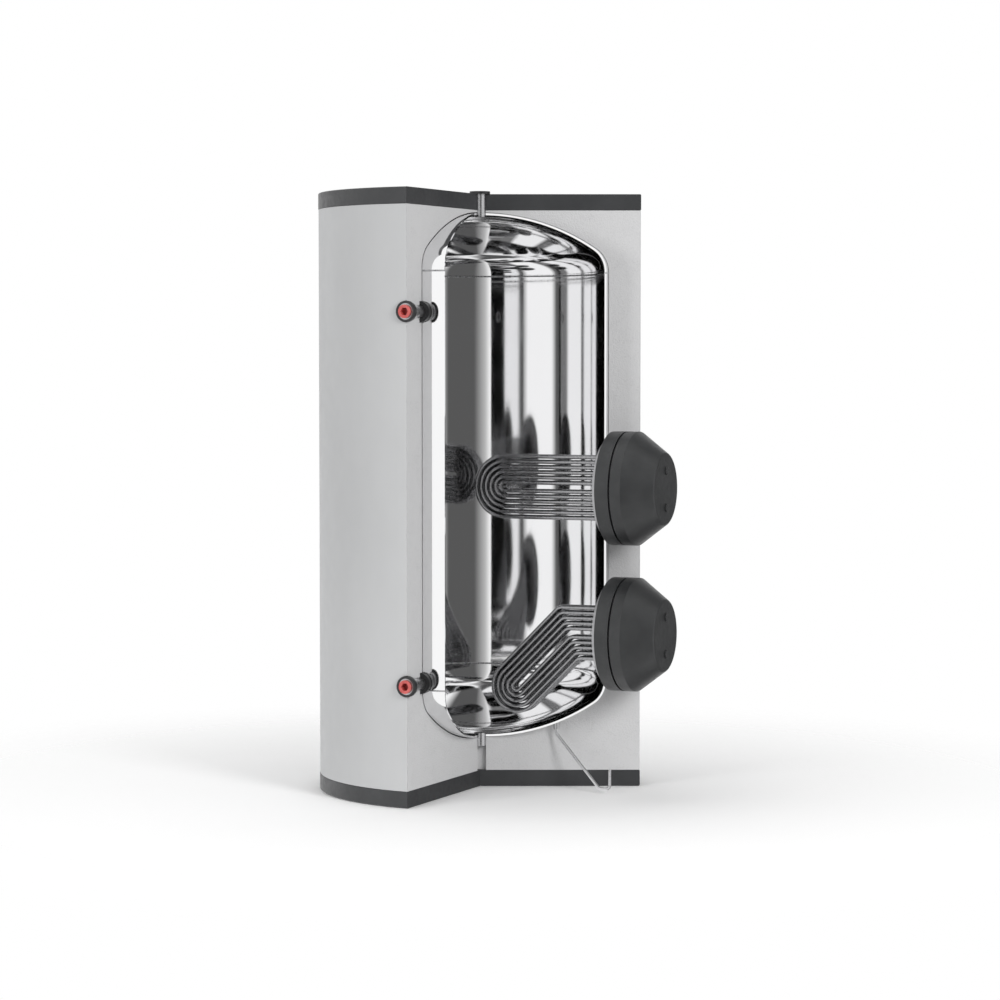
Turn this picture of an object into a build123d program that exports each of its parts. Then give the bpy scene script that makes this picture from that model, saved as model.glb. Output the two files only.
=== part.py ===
from build123d import *
from math import asin, cos, degrees, pi, radians, sin, sqrt, tan
import os

# Floor-standing hot-water storage cylinder for solar heating, built as a sectioned
# display model: a wedge is cut out of the jacket and of the tank so that the two
# heat exchangers can be seen.
#
# Millimetres, +Z up.  The origin is on the tank's axis, on the floor.  Azimuths are
# measured about +Z from +X, and the open wedge faces -Y.

os.makedirs("parts", exist_ok=True)

# ------------------------------------------------------------------ driving sizes

overall_height = 1830.0         # floor to the top of the lid
jacket_radius = 495.0           # outside of the jacket's skin

# Jacket, base and lid
lid_height = 50.0
base_height = 50.0
lid_overhang = 1.0              # lid and base stand this far proud of the skin
slab_edge_radius = 4.0          # rounded rim of the lid and the base
skin_thickness = 2.5
jacket_start = 0.0              # azimuth of the right-hand cut face
jacket_arc = 244.3              # the sector of jacket that is left standing

# Tank
tank_radius = 395.0             # outside of the shell
tank_wall = 6.0
crown_radius = 630.0            # inside radius of a head's crown
knuckle_radius = 80.0           # inside radius of a head's knuckle
head_skirt = 2.0                # straight edge of a head below its knuckle
top_insulation = 8.0            # foam between the tank and the lid, on the axis
bottom_insulation = 105.0       # foam between the base and the tank, on the axis
foam_gap = 2.0                  # slack between the tank and the foam
foam_base_height = 326.0        # top of the lower foam block
weld_width = 5.0
weld_crown = 1.5                # height of a bead over the sheet
tank_start = -12.0              # azimuth of the tank's right-hand cut edge
tank_arc = 266.7

# Feet, hidden in the foam
foot_radius = 30.0
foot_wall = 3.0
foot_circle = 270.0             # distance of the feet from the axis
foot_first_azimuth = 30.0
foot_spread = 184.0             # from the first foot to the last
foot_count = 3
foot_clearance = 0.5
foot_top_height = 530.0         # well above the head that cuts the feet to shape
weld_gap = 0.2

# Water connections, one inch thread
pipe_radius = 18.0
pipe_bore_radius = 13.5
thread_radius = 15.15           # crest of the inside thread
thread_clearance = 0.25
side_port_azimuth = -115.7
upper_port_height = 1465.0
lower_port_height = 362.0
socket_radius = 24.0
socket_length = 42.0
socket_thread_depth = 26.0
rosette_width = 7.5             # rosette's edge outside the socket
rosette_thickness = 14.0
rosette_proud = 10.0            # how far a rosette stands out of the jacket
collar_radius = 31.0
collar_thickness = 14.0
fitting_clearance = 0.3
channel_clearance = 0.8         # foam around a fitting
pipe_inside_tank = 6.0
plug_head_radius = 20.0
plug_head_thickness = 6.0
plug_grip_radius = 12.5         # the plug's hollow middle
plug_floor = 3.0
plug_shank = 18.0
washer_thickness = 2.0
washer_rim = 1.0                # the plug's head reaches this far past its washer
washer_play = 0.5               # room between the washer and the plug's shank
washer_gap = 0.05               # slack on each side of the washer
socket_recess = 2.0             # a socket ends this far behind its rosette's front
rosette_edge_radius = 3.0
bottom_stub_length = 28.0
top_rosette_proud = 8.0

# Flanged exchanger openings
flange_azimuth = -22.5
upper_flange_height = 933.5
lower_flange_height = 490.6
neck_play = 13.0                # room for the bundle to pass through the neck
neck_wall = 6.0
neck_length = 58.0
neck_reach = 29.0               # how far the neck stands out of the tank
bolt_circle_margin = 14.0       # bolts' centres outside the neck
flange_margin = 18.0            # flange's edge outside the bolts' centres
flange_thickness = 20.0
gasket_thickness = 3.0
plate_thickness = 16.0
bolt_count = 12
bolt_radius = 6.0
bolt_head_across_flats = 18.0
bolt_head_height = 7.5
bolt_engagement = 14.0
bolt_hole_clearance = 0.8
thread_fit = 0.1

# Header box on the closing plate
header_play = 5.0               # room between the bundle and the header's wall
header_wall = 4.0
header_depth = 36.0
header_end_thickness = 6.0
stub_radius = 11.0
stub_bore_radius = 8.0
stub_spacing = 112.0

# Exchanger tubes, bent into nested U shapes
tube_radius = 6.0
tube_wall = 1.0
tube_fit = 0.1
inner_bend_radius = 13.0
tube_pitch = 16.0
row_pitch = 18.0
row_count = 3
upper_turns = 6
lower_turns = 5
upper_tip_distance = -11.0      # the upper bundle just crosses the tank's axis
lower_bend_distance = 300.0     # where the lower bundle turns down
lower_bend_angle = 45.0
lower_slant_length = 243.0
lower_fold_radius = 26.0

# Flange covers
cover_margin = 22.5             # cover's edge outside the flange's edge
cover_offset = 15.0             # from the back of the flange to the back of the cover
collar_ring_length = 42.0
cover_groove = 3.0
cover_bevel = 3.0
cover_rim_length = 36.0         # straight rim of the hood, from the groove to the cone
cover_cone_length = 87.0
cover_cone_narrowing = 65.0     # cone's loss of radius over its length
cover_front_rounding = 12.0
cover_wall = 5.0
spigot_length = 13.0
spigot_wall = 4.0
spigot_clearance = 0.4
recess_spare = 2.0              # depth left behind the end of the spigot
cover_cap_radius = 12.5
cover_cap_height = 6.0
cover_cap_stem_radius = 8.0
cover_cap_stem_length = 9.0
cover_cap_rounding = 3.6

# Drain tube
drain_radius = 4.5
drain_bore_radius = 3.2
drain_start = (236.0, -30.0)    # plan position of its boss under the tank
drain_foot_distance = 394.0
drain_foot_height = 14.0
drain_riser_distance = 428.0
drain_riser_height = 74.0
drain_bend_radius = 13.0
drain_boss_radius = 9.0
drain_boss_length = 20.0
drain_tube_gap = 2.0            # between the end of the tube and the tank

cut_margin = 1.0                # how far a cutter runs past the wall it goes through

# ------------------------------------------------------------------ derived sizes

lid_radius = jacket_radius + lid_overhang
foam_radius = jacket_radius - skin_thickness
lid_bottom = overall_height - lid_height
tank_inner_radius = tank_radius - tank_wall
tank_top = lid_bottom - top_insulation
tank_bottom = base_height + bottom_insulation
tank_middle = (tank_top + tank_bottom) / 2

crown_angle = degrees(asin((tank_inner_radius - knuckle_radius) / (crown_radius - knuckle_radius)))
crown_centre_drop = (crown_radius - knuckle_radius) * cos(radians(crown_angle))
upper_knuckle_height = tank_top - tank_wall - crown_radius + crown_centre_drop
crown_centre_height = upper_knuckle_height - crown_centre_drop
head_edge_height = upper_knuckle_height - head_skirt
shell_top = head_edge_height - weld_width
shell_bottom = 2 * tank_middle - shell_top

bundle_half = inner_bend_radius + tube_pitch * (upper_turns - 1) + tube_radius
header_radius = bundle_half + header_play + header_wall
neck_bore_radius = bundle_half + neck_play
neck_radius = neck_bore_radius + neck_wall
bolt_circle_radius = neck_radius + bolt_circle_margin
flange_radius = bolt_circle_radius + flange_margin
flange_back = tank_radius + neck_reach
neck_inner_end = flange_back - neck_length
flange_face = flange_back + flange_thickness
plate_back = flange_face + gasket_thickness
plate_front = plate_back + plate_thickness
header_front = plate_front + header_depth
cover_radius = flange_radius + cover_margin
cover_back = flange_back + cover_offset
collar_ring_front = cover_back + collar_ring_length
cover_rim_back = collar_ring_front + cover_groove
cover_rim_front = cover_rim_back + cover_rim_length
cover_front = cover_rim_front + cover_cone_length
cover_front_radius = cover_radius - cover_cone_narrowing
stub_end = cover_front - cover_wall - cover_cap_stem_length
rosette_radius = socket_radius + rosette_width
rosette_front = jacket_radius + rosette_proud
socket_front = rosette_front - socket_recess
socket_back = socket_front - socket_length
collar_back = tank_radius + weld_crown + fitting_clearance


# ------------------------------------------------------------------ planes and outlines

def upright(azimuth, sideways=0.0):
    """Upright plane that runs outwards from the axis: local X outwards, local Y up."""
    a = radians(azimuth)
    origin = (-sin(a) * sideways, cos(a) * sideways, 0)
    return Plane(origin=origin, x_dir=(cos(a), sin(a), 0), z_dir=(sin(a), -cos(a), 0))


def across(azimuth, distance, height):
    """Plane square to a branch at this azimuth: local Z outwards, local Y up."""
    a = radians(azimuth)
    origin = (cos(a) * distance, sin(a) * distance, height)
    return Plane(origin=origin, x_dir=(-sin(a), cos(a), 0), z_dir=(cos(a), sin(a), 0))


def branch_axis(azimuth, height):
    """Centre line of a branch."""
    plane = across(azimuth, 0, height)
    return Axis(origin=plane.origin, direction=plane.z_dir)


def head_arcs(offset):
    """The crown and knuckle of the upper head, offset outwards from its inside face."""
    knuckle_centre = (tank_inner_radius - knuckle_radius, upper_knuckle_height)
    CenterArc((0, crown_centre_height), crown_radius + offset, 90, -crown_angle)
    CenterArc(knuckle_centre, knuckle_radius + offset, 90 - crown_angle, crown_angle - 90)


def vessel(offset):
    """The whole tank as one solid, offset outwards from its inside face."""
    with BuildPart() as body:
        with BuildSketch(Plane.XZ):
            with BuildLine():
                head_arcs(offset)
                Line((tank_inner_radius + offset, upper_knuckle_height),
                     (tank_inner_radius + offset, tank_middle))
                Line((tank_inner_radius + offset, tank_middle), (0, tank_middle))
                Line((0, tank_middle), (0, crown_centre_height + crown_radius + offset))
            make_face()
        revolve(axis=Axis.Z)
        mirror(about=Plane.XY.offset(tank_middle))
    return body.part


# ------------------------------------------------------------------ base, feet and jacket

def slab(bottom, height, hole_radius):
    """Round slab of the jacket's sector, with a rounded rim and a hole on the axis."""
    with BuildPart() as piece:
        with BuildSketch(upright(jacket_start)) as half:
            with Locations((hole_radius, bottom)):
                Rectangle(lid_radius - hole_radius, height, align=(Align.MIN, Align.MIN))
            fillet(half.vertices().group_by(Axis.X)[-1], slab_edge_radius)
        revolve(axis=Axis.Z, revolution_arc=jacket_arc)
    return piece


base = slab(0, base_height, 0)
base.part.label = "base_plinth"
export_step(base.part, "parts/base_plinth.step")

lid = slab(lid_bottom, lid_height, pipe_radius + 2 * fitting_clearance)
lid.part.label = "top_lid"
export_step(lid.part, "parts/top_lid.step")

foot_ring = PolarLocations(foot_circle, foot_count, foot_first_azimuth, foot_spread, endpoint=True)
tank_outside = vessel(tank_wall + weld_gap)

with BuildPart() as feet:
    with BuildSketch(Plane.XY.offset(base_height)):
        with foot_ring:
            Circle(foot_radius)
            Circle(foot_radius - foot_wall, mode=Mode.SUBTRACT)
    extrude(amount=tank_middle - base_height)
    add(tank_outside, mode=Mode.SUBTRACT)
    split(bisect_by=Plane.XY.offset(foot_top_height), keep=Keep.BOTTOM)
feet.part.label = "tank_feet"
export_step(feet.part, "parts/tank_feet.step")

fitting_steps = [
    (tank_radius - pipe_inside_tank, socket_back, pipe_radius),
    (tank_radius, collar_back + collar_thickness + channel_clearance, collar_radius),
    (socket_back, socket_front, socket_radius),
    (rosette_front - rosette_thickness, rosette_front, rosette_radius),
]

with BuildPart() as foam:
    with BuildSketch(upright(jacket_start)):
        with Locations((0, base_height)):
            Rectangle(foam_radius, lid_bottom - base_height, align=(Align.MIN, Align.MIN))
    revolve(axis=Axis.Z, revolution_arc=jacket_arc)
    add(vessel(tank_wall + foam_gap), mode=Mode.SUBTRACT)
    with BuildSketch(Plane.XY.offset(base_height)):
        with foot_ring:
            Circle(foot_radius + foot_clearance)
        Circle(pipe_radius + channel_clearance)
    extrude(amount=tank_middle - base_height, mode=Mode.SUBTRACT)
    with BuildSketch(Plane.XY.offset(tank_middle)):
        Circle(pipe_radius + channel_clearance)
    extrude(amount=lid_bottom - tank_middle, mode=Mode.SUBTRACT)
    for port_height in (upper_port_height, lower_port_height):
        for step_back, step_front, step_radius in fitting_steps:
            with BuildSketch(across(side_port_azimuth, step_back, port_height)):
                Circle(step_radius + channel_clearance)
            extrude(amount=step_front - step_back, mode=Mode.SUBTRACT)

foam_joints = [Plane.XY.offset(foam_base_height), Plane.XY.offset(shell_top)]

with BuildPart() as foam_base:
    add(foam.part)
    split(bisect_by=foam_joints[0], keep=Keep.BOTTOM)
foam_base.part.label = "insulation_foam_base"
export_step(foam_base.part, "parts/insulation_foam_base.step")

with BuildPart() as foam_side:
    add(foam.part)
    split(bisect_by=foam_joints[0], keep=Keep.TOP)
    split(bisect_by=foam_joints[1], keep=Keep.BOTTOM)
foam_side.part.label = "insulation_foam"
export_step(foam_side.part, "parts/insulation_foam.step")

with BuildPart() as foam_crown:
    add(foam.part)
    split(bisect_by=foam_joints[1], keep=Keep.TOP)
foam_crown.part.label = "insulation_foam_crown"
export_step(foam_crown.part, "parts/insulation_foam_crown.step")

with BuildPart() as skin:
    with BuildSketch(upright(jacket_start)):
        with Locations((foam_radius, base_height)):
            Rectangle(skin_thickness, lid_bottom - base_height, align=(Align.MIN, Align.MIN))
    revolve(axis=Axis.Z, revolution_arc=jacket_arc)
    for port_height in (upper_port_height, lower_port_height):
        with BuildSketch(across(side_port_azimuth, tank_radius, port_height)):
            Circle(rosette_radius + channel_clearance)
        extrude(amount=jacket_radius, mode=Mode.SUBTRACT)
skin.part.label = "jacket_skin"
export_step(skin.part, "parts/jacket_skin.step")

# ------------------------------------------------------------------ tank

with BuildPart() as upper_head:
    with BuildSketch(upright(tank_start)):
        with BuildLine():
            head_arcs(tank_wall)
            Line((tank_radius, upper_knuckle_height), (tank_radius, head_edge_height))
            Line((tank_radius, head_edge_height), (tank_inner_radius, head_edge_height))
            Line((tank_inner_radius, head_edge_height), (tank_inner_radius, upper_knuckle_height))
            head_arcs(0)
            Line((0, tank_top - tank_wall), (0, tank_top))
        make_face()
    revolve(axis=Axis.Z, revolution_arc=tank_arc)

middle_plane = Plane.XY.offset(tank_middle)

with BuildPart() as top_head:
    add(upper_head.part)
    with BuildSketch(middle_plane):
        Circle(pipe_radius + thread_fit)
    extrude(amount=overall_height, mode=Mode.SUBTRACT)
top_head.part.label = "tank_top_head"
export_step(top_head.part, "parts/tank_top_head.step")

with BuildPart() as bottom_head:
    add(upper_head.part)
    mirror(about=middle_plane, mode=Mode.REPLACE)
    with BuildSketch(Plane.XY):
        Circle(pipe_radius + thread_fit)
    extrude(amount=tank_middle, mode=Mode.SUBTRACT)
bottom_head.part.label = "tank_bottom_head"
export_step(bottom_head.part, "parts/tank_bottom_head.step")

with BuildPart() as shell:
    with BuildSketch(upright(tank_start)):
        with Locations((tank_inner_radius, shell_bottom)):
            Rectangle(tank_wall, shell_top - shell_bottom, align=(Align.MIN, Align.MIN))
    revolve(axis=Axis.Z, revolution_arc=tank_arc)
    for port_height in (upper_port_height, lower_port_height):
        with BuildSketch(across(side_port_azimuth, 0, port_height)):
            Circle(pipe_radius + thread_fit)
        extrude(amount=jacket_radius, mode=Mode.SUBTRACT)
    for flange_height in (upper_flange_height, lower_flange_height):
        with BuildSketch(across(flange_azimuth, 0, flange_height)):
            Circle(neck_radius + weld_gap)
        extrude(amount=jacket_radius, mode=Mode.SUBTRACT)
shell.part.label = "tank_shell"
export_step(shell.part, "parts/tank_shell.step")

for name, bead_bottom in (("upper", shell_top), ("lower", shell_bottom - weld_width)):
    with BuildPart() as bead:
        with BuildSketch(upright(tank_start)):
            with BuildLine():
                ThreePointArc((tank_radius, bead_bottom),
                              (tank_radius + weld_crown, bead_bottom + weld_width / 2),
                              (tank_radius, bead_bottom + weld_width))
                Line((tank_radius, bead_bottom + weld_width),
                     (tank_inner_radius, bead_bottom + weld_width))
                ThreePointArc((tank_inner_radius, bead_bottom + weld_width),
                              (tank_inner_radius - weld_crown, bead_bottom + weld_width / 2),
                              (tank_inner_radius, bead_bottom))
                Line((tank_inner_radius, bead_bottom), (tank_radius, bead_bottom))
            make_face()
        revolve(axis=Axis.Z, revolution_arc=tank_arc)
    bead.part.label = f"{name}_weld_seam"
    export_step(bead.part, f"parts/{name}_weld_seam.step")

# ------------------------------------------------------------------ water connections


def tube(plane, length, outer, inner):
    """Plain ring or tube that stands on a plane."""
    with BuildPart() as piece:
        with BuildSketch(plane):
            Circle(outer)
            Circle(inner, mode=Mode.SUBTRACT)
        extrude(amount=length)
    return piece


for name, height in (("upper", upper_port_height), ("lower", lower_port_height)):
    pipe_start = tank_radius - tank_wall - pipe_inside_tank
    pipe = tube(across(side_port_azimuth, pipe_start, height), socket_back - pipe_start,
                pipe_radius, pipe_bore_radius)
    pipe.part.label = f"{name}_port_pipe"
    export_step(pipe.part, f"parts/{name}_port_pipe.step")

    with BuildPart() as socket:
        with BuildSketch(across(side_port_azimuth, socket_back, height)):
            Circle(socket_radius)
        extrude(amount=socket_length)
        with BuildSketch(across(side_port_azimuth, socket_back, height)):
            Circle(pipe_bore_radius)
        extrude(amount=socket_length, mode=Mode.SUBTRACT)
        thread_floor = socket_front - socket_thread_depth
        with BuildSketch(across(side_port_azimuth, thread_floor, height)):
            Circle(thread_radius)
        extrude(amount=socket_thread_depth, mode=Mode.SUBTRACT)
    socket.part.label = f"{name}_port_socket"
    export_step(socket.part, f"parts/{name}_port_socket.step")

    collar = tube(across(side_port_azimuth, collar_back, height), collar_thickness,
                  collar_radius, pipe_radius + fitting_clearance)
    collar.part.label = f"{name}_port_collar"
    export_step(collar.part, f"parts/{name}_port_collar.step")

    with BuildPart() as rosette:
        with BuildSketch(across(side_port_azimuth, rosette_front - rosette_thickness, height)):
            Circle(rosette_radius)
            Circle(socket_radius + fitting_clearance, mode=Mode.SUBTRACT)
        extrude(amount=rosette_thickness)
        front_rim = rosette.edges().filter_by(GeomType.CIRCLE).sort_by(
            branch_axis(side_port_azimuth, height))[-2:].sort_by(SortBy.RADIUS)[-1]
        fillet(front_rim, rosette_edge_radius)
    rosette.part.label = f"{name}_port_rosette"
    export_step(rosette.part, f"parts/{name}_port_rosette.step")

    washer = tube(across(side_port_azimuth, socket_front + washer_gap, height), washer_thickness,
                  plug_head_radius - washer_rim, thread_radius + washer_play)
    washer.part.label = f"{name}_plug_washer"
    export_step(washer.part, f"parts/{name}_plug_washer.step")

    plug_back = socket_front - plug_shank
    plug_head_back = socket_front + washer_thickness + 2 * washer_gap
    plug_length = plug_head_back + plug_head_thickness - plug_back
    with BuildPart() as plug:
        with BuildSketch(across(side_port_azimuth, plug_back, height)):
            Circle(thread_radius - thread_clearance)
        extrude(amount=plug_length)
        with BuildSketch(across(side_port_azimuth, plug_head_back, height)):
            Circle(plug_head_radius)
        extrude(amount=plug_head_thickness)
        with BuildSketch(across(side_port_azimuth, plug_back + plug_floor, height)):
            RegularPolygon(plug_grip_radius, 6)
        extrude(amount=plug_length, mode=Mode.SUBTRACT)
    plug.part.label = f"{name}_port_plug"
    export_step(plug.part, f"parts/{name}_port_plug.step")

top_pipe_length = overall_height - tank_top + tank_wall + pipe_inside_tank
with BuildPart() as top_pipe:
    with BuildSketch(Plane.XY.offset(overall_height - top_pipe_length)):
        Circle(pipe_radius)
        Circle(pipe_bore_radius, mode=Mode.SUBTRACT)
    extrude(amount=top_pipe_length)
    with BuildSketch(Plane.XY.offset(overall_height - socket_thread_depth)):
        Circle(thread_radius)
    extrude(amount=socket_thread_depth, mode=Mode.SUBTRACT)
top_pipe.part.label = "top_port_pipe"
export_step(top_pipe.part, "parts/top_port_pipe.step")

top_rosette = tube(Plane.XY.offset(overall_height), top_rosette_proud,
                   rosette_radius, pipe_radius + 2 * fitting_clearance)
top_rosette.part.label = "top_port_rosette"
export_step(top_rosette.part, "parts/top_port_rosette.step")

bottom_stub_end = tank_bottom - bottom_stub_length
bottom_stub_rise = bottom_stub_length + tank_wall + pipe_inside_tank
bottom_stub = tube(Plane.XY.offset(bottom_stub_end), bottom_stub_rise, pipe_radius, thread_radius)
bottom_stub.part.label = "bottom_port_pipe"
export_step(bottom_stub.part, "parts/bottom_port_pipe.step")

# ------------------------------------------------------------------ exchangers


def bundle_route(plane, height, reach, centre, tilt, corner_distance):
    """Centre line of one U tube: in along the top, round the tip and back out below."""
    rise = (-sin(radians(tilt)) * reach, cos(radians(tilt)) * reach)
    top_start = (plate_front, height + reach)
    top_end = (centre[0] + rise[0], centre[1] + rise[1])
    low_start = (plate_front, height - reach)
    low_end = (centre[0] - rise[0], centre[1] - rise[1])
    mitre = tan(radians(tilt / 2)) * reach
    with BuildLine(plane) as route:
        if tilt > 0:
            FilletPolyline(top_start, (corner_distance - mitre, height + reach), top_end,
                           radius=lower_fold_radius)
        else:
            Line(top_start, top_end)
        CenterArc(centre, reach, 90 + tilt, 180)
        if tilt > 0:
            FilletPolyline(low_end, (corner_distance + mitre, height - reach), low_start,
                           radius=lower_fold_radius)
        else:
            Line(low_end, low_start)
    return route


def coil_row(height, turns, centre, tilt, sideways):
    """One flat row of nested U tubes."""
    with BuildPart() as row:
        for turn in range(turns):
            reach = inner_bend_radius + tube_pitch * turn
            plane = upright(flange_azimuth, sideways)
            route = bundle_route(plane, height, reach, centre, tilt, lower_bend_distance)
            start = Plane(origin=route.line @ 0, z_dir=route.line % 0)
            with BuildSketch(start):
                Circle(tube_radius)
                Circle(tube_radius - tube_wall, mode=Mode.SUBTRACT)
            sweep(path=route.wires()[0])
    return row


upper_centre = (upper_tip_distance + bundle_half, upper_flange_height)
slant = radians(lower_bend_angle)
lower_centre = (lower_bend_distance - cos(slant) * lower_slant_length,
                lower_flange_height - sin(slant) * lower_slant_length)

exchangers = [
    ("upper", upper_flange_height, upper_turns, upper_centre, 0.0),
    ("lower", lower_flange_height, lower_turns, lower_centre, lower_bend_angle),
]

for name, height, turns, centre, tilt in exchangers:
    row_places = [row_pitch * (row - (row_count - 1) / 2) for row in range(row_count)]
    for row, sideways in enumerate(row_places):
        coil = coil_row(height, turns, centre, tilt, sideways)
        coil.part.label = f"{name}_coil_row_{row + 1}"
        export_step(coil.part, f"parts/{name}_coil_row_{row + 1}.step")

    neck = tube(across(flange_azimuth, neck_inner_end, height), flange_back - neck_inner_end,
                neck_radius, neck_bore_radius)
    with BuildPart() as neck_left:
        add(neck.part)
        split(bisect_by=upright(tank_start), keep=Keep.BOTTOM)
    neck_left.part.label = f"{name}_flange_neck"
    export_step(neck_left.part, f"parts/{name}_flange_neck.step")

    with BuildPart() as ring:
        with BuildSketch(across(flange_azimuth, flange_back, height)):
            Circle(flange_radius)
            Circle(neck_bore_radius, mode=Mode.SUBTRACT)
            with PolarLocations(bolt_circle_radius, bolt_count):
                Circle(bolt_radius + thread_fit, mode=Mode.SUBTRACT)
        extrude(amount=flange_thickness)
    ring.part.label = f"{name}_welded_flange"
    export_step(ring.part, f"parts/{name}_welded_flange.step")

    with BuildPart() as gasket:
        with BuildSketch(across(flange_azimuth, flange_face, height)):
            Circle(flange_radius)
            Circle(neck_bore_radius, mode=Mode.SUBTRACT)
            with PolarLocations(bolt_circle_radius, bolt_count):
                Circle(bolt_radius + bolt_hole_clearance, mode=Mode.SUBTRACT)
        extrude(amount=gasket_thickness)
    gasket.part.label = f"{name}_gasket"
    export_step(gasket.part, f"parts/{name}_gasket.step")

    reaches = [inner_bend_radius + tube_pitch * turn for turn in range(turns)]
    tube_ends = [(s, side * r) for s in row_places for r in reaches for side in (-1, 1)]
    with BuildPart() as plate:
        with BuildSketch(across(flange_azimuth, plate_back, height)):
            Circle(flange_radius)
            with PolarLocations(bolt_circle_radius, bolt_count):
                Circle(bolt_radius + bolt_hole_clearance, mode=Mode.SUBTRACT)
            with Locations(*tube_ends):
                Circle(tube_radius + tube_fit, mode=Mode.SUBTRACT)
        extrude(amount=plate_thickness)
    plate.part.label = f"{name}_tube_plate"
    export_step(plate.part, f"parts/{name}_tube_plate.step")

    with BuildPart() as bolts:
        with BuildSketch(across(flange_azimuth, plate_front, height)):
            with PolarLocations(bolt_circle_radius, bolt_count):
                RegularPolygon(bolt_head_across_flats / 2, 6, major_radius=False)
        extrude(amount=bolt_head_height)
        with BuildSketch(across(flange_azimuth, flange_face - bolt_engagement, height)):
            with PolarLocations(bolt_circle_radius, bolt_count):
                Circle(bolt_radius)
        extrude(amount=plate_front - flange_face + bolt_engagement)
    bolts.part.label = f"{name}_flange_bolts"
    export_step(bolts.part, f"parts/{name}_flange_bolts.step")

    with BuildPart() as header:
        with BuildSketch(across(flange_azimuth, plate_front, height)):
            Circle(header_radius)
            Circle(header_radius - header_wall, mode=Mode.SUBTRACT)
            Rectangle(2 * header_radius - header_wall, header_wall)
        extrude(amount=header_depth - header_end_thickness)
        with BuildSketch(across(flange_azimuth, header_front - header_end_thickness, height)):
            Circle(header_radius)
            with Locations((0, -stub_spacing / 2), (0, stub_spacing / 2)):
                Circle(stub_bore_radius, mode=Mode.SUBTRACT)
        extrude(amount=header_end_thickness)
    header.part.label = f"{name}_header_box"
    export_step(header.part, f"parts/{name}_header_box.step")

    with BuildPart() as stubs:
        with BuildSketch(across(flange_azimuth, header_front, height)):
            with Locations((0, -stub_spacing / 2), (0, stub_spacing / 2)):
                Circle(stub_radius)
                Circle(stub_bore_radius, mode=Mode.SUBTRACT)
        extrude(amount=stub_end - header_front)
    stubs.part.label = f"{name}_coil_connections"
    export_step(stubs.part, f"parts/{name}_coil_connections.step")

# ------------------------------------------------------------------ flange covers

spigot_radius = cover_radius - cover_wall - spigot_clearance
recess_floor = cover_rim_back - spigot_length - recess_spare

for name, height in (("upper", upper_flange_height), ("lower", lower_flange_height)):
    axis = branch_axis(flange_azimuth, height)

    with BuildPart() as collar_ring:
        with BuildSketch(upright(flange_azimuth)):
            with BuildLine():
                Polyline((cover_back, height + flange_radius + weld_gap),
                         (cover_back, height + cover_radius),
                         (collar_ring_front, height + cover_radius),
                         (collar_ring_front, height + spigot_radius + spigot_clearance),
                         (recess_floor, height + spigot_radius + spigot_clearance),
                         (recess_floor, height + flange_radius + weld_gap),
                         close=True)
            make_face()
        revolve(axis=axis)
    collar_ring.part.label = f"{name}_cover_collar"
    export_step(collar_ring.part, f"parts/{name}_cover_collar.step")

    slope = (cover_radius - cover_front_radius) / (cover_front - cover_rim_front)
    wall_across = cover_wall * sqrt(1 + slope * slope)
    inner_front = cover_front - cover_wall
    inner_front_radius = cover_radius - slope * (inner_front - cover_rim_front) - wall_across
    inner_rim_front = cover_rim_front - (wall_across - cover_wall) / slope
    with BuildPart() as cover:
        with BuildSketch(upright(flange_azimuth)):
            with BuildLine():
                FilletPolyline((cover_rim_front, height + cover_radius),
                               (cover_front, height + cover_front_radius),
                               (cover_front, height), radius=cover_front_rounding)
                Polyline((cover_front, height),
                         (inner_front, height),
                         (inner_front, height + inner_front_radius),
                         (inner_rim_front, height + cover_radius - cover_wall),
                         (cover_rim_back, height + cover_radius - cover_wall),
                         (cover_rim_back - spigot_length, height + spigot_radius - spigot_wall),
                         (cover_rim_back - spigot_length, height + spigot_radius),
                         (cover_rim_back, height + spigot_radius),
                         (cover_rim_back, height + cover_radius - cover_bevel),
                         (cover_rim_back + cover_bevel, height + cover_radius),
                         (cover_rim_front, height + cover_radius))
            make_face()
        revolve(axis=axis)
        with BuildSketch(across(flange_azimuth, inner_front - cut_margin, height)):
            with Locations((0, -stub_spacing / 2), (0, stub_spacing / 2)):
                Circle(cover_cap_stem_radius + weld_gap)
        extrude(amount=cover_wall + 2 * cut_margin, mode=Mode.SUBTRACT)
    cover.part.label = f"{name}_flange_cover"
    export_step(cover.part, f"parts/{name}_flange_cover.step")

    with BuildPart() as caps:
        with BuildSketch(across(flange_azimuth, cover_front, height)):
            with Locations((0, -stub_spacing / 2), (0, stub_spacing / 2)):
                Circle(cover_cap_radius)
        extrude(amount=cover_cap_height)
        cap_rims = caps.edges().filter_by(GeomType.CIRCLE).group_by(axis)[-1]
        fillet(cap_rims, cover_cap_rounding)
        with BuildSketch(across(flange_azimuth, cover_front - cover_cap_stem_length, height)):
            with Locations((0, -stub_spacing / 2), (0, stub_spacing / 2)):
                Circle(cover_cap_stem_radius)
        extrude(amount=cover_cap_stem_length)
    caps.part.label = f"{name}_cover_caps"
    export_step(caps.part, f"parts/{name}_cover_caps.step")

# ------------------------------------------------------------------ drain tube

drain_plan_distance = sqrt(drain_start[0] ** 2 + drain_start[1] ** 2)
lower_crown_height = 2 * tank_middle - crown_centre_height
outer_crown = crown_radius + tank_wall
drain_start_height = lower_crown_height - sqrt(outer_crown ** 2 - drain_plan_distance ** 2)

with BuildPart() as boss:
    with BuildSketch(Plane.XY.offset(drain_start_height - drain_boss_length)):
        with Locations(drain_start):
            Circle(drain_boss_radius)
            Circle(drain_radius + thread_fit, mode=Mode.SUBTRACT)
    extrude(amount=2 * drain_boss_length)
    add(tank_outside, mode=Mode.SUBTRACT)
    split(bisect_by=Plane.XY.offset(tank_middle), keep=Keep.BOTTOM)
boss.part.label = "drain_boss"
export_step(boss.part, "parts/drain_boss.step")

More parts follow.
